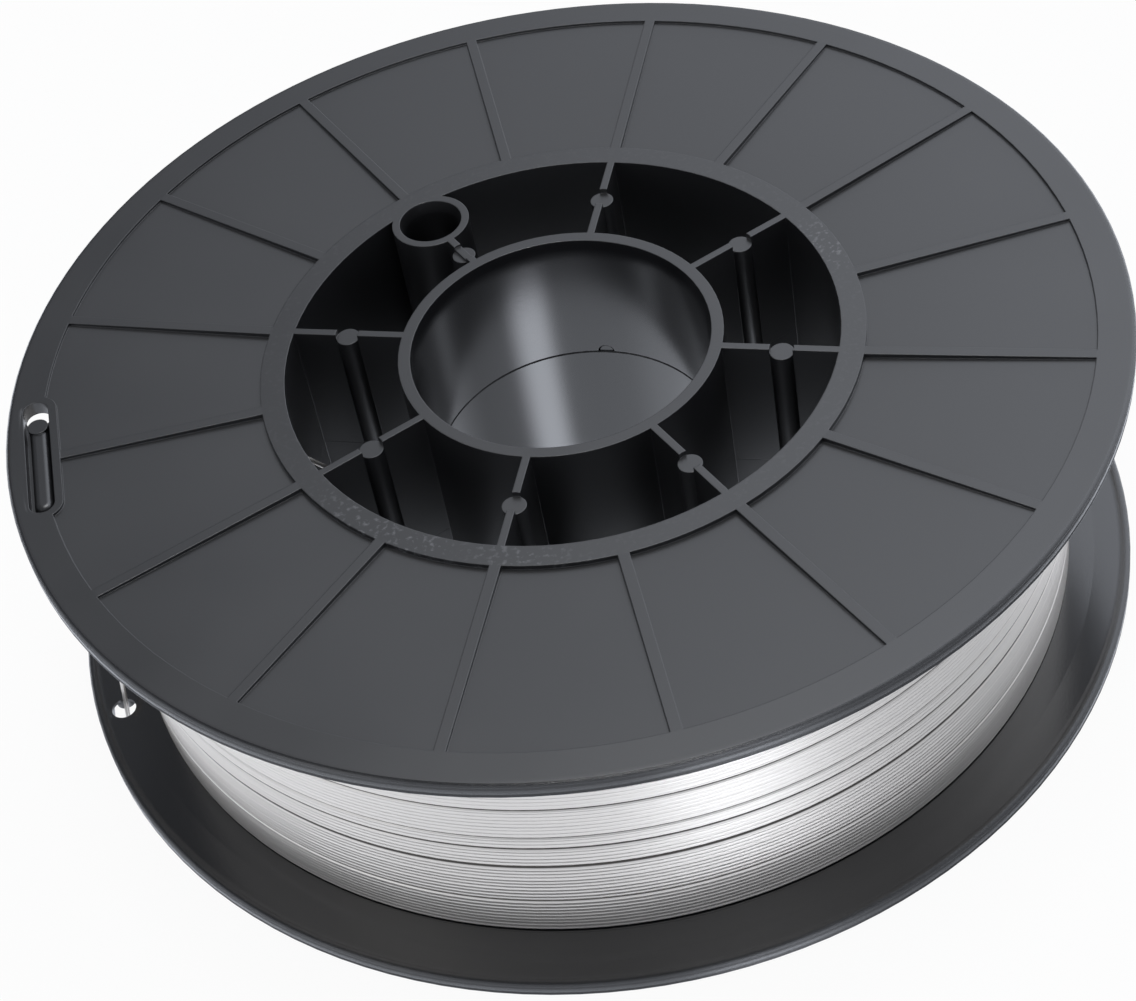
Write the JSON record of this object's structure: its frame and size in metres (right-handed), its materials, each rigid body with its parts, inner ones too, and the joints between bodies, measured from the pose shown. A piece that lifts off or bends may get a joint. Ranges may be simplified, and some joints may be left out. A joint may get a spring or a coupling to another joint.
{
  "type": "mig welding wire spool",
  "caption": "Black two-half plastic spool with ribbed flanges and a webbed hub, fully wound with bright steel welding wire whose end is caught at the lower rim.",
  "frame": {"origin": "on the spool axis, at the outer face of the lower flange's rim, where the spool rests on the floor", "axes": "+Z is the spool axis, upward; the wire clip slots of both flanges lie on the -X side; the upper driving hole lies at azimuth 112.5 degrees from +X towards +Y"},
  "size_m": [0.2, 0.2, 0.057],
  "materials": {
    "black_plastic": "moulded, satin",
    "bright_wire": "bright drawn"
  },
  "bodies": {
    "root": {"upper_spool_half": "black_plastic", "lower_spool_half": "black_plastic", "welding_wire": "bright_wire"}
  },
  "joints": []
}
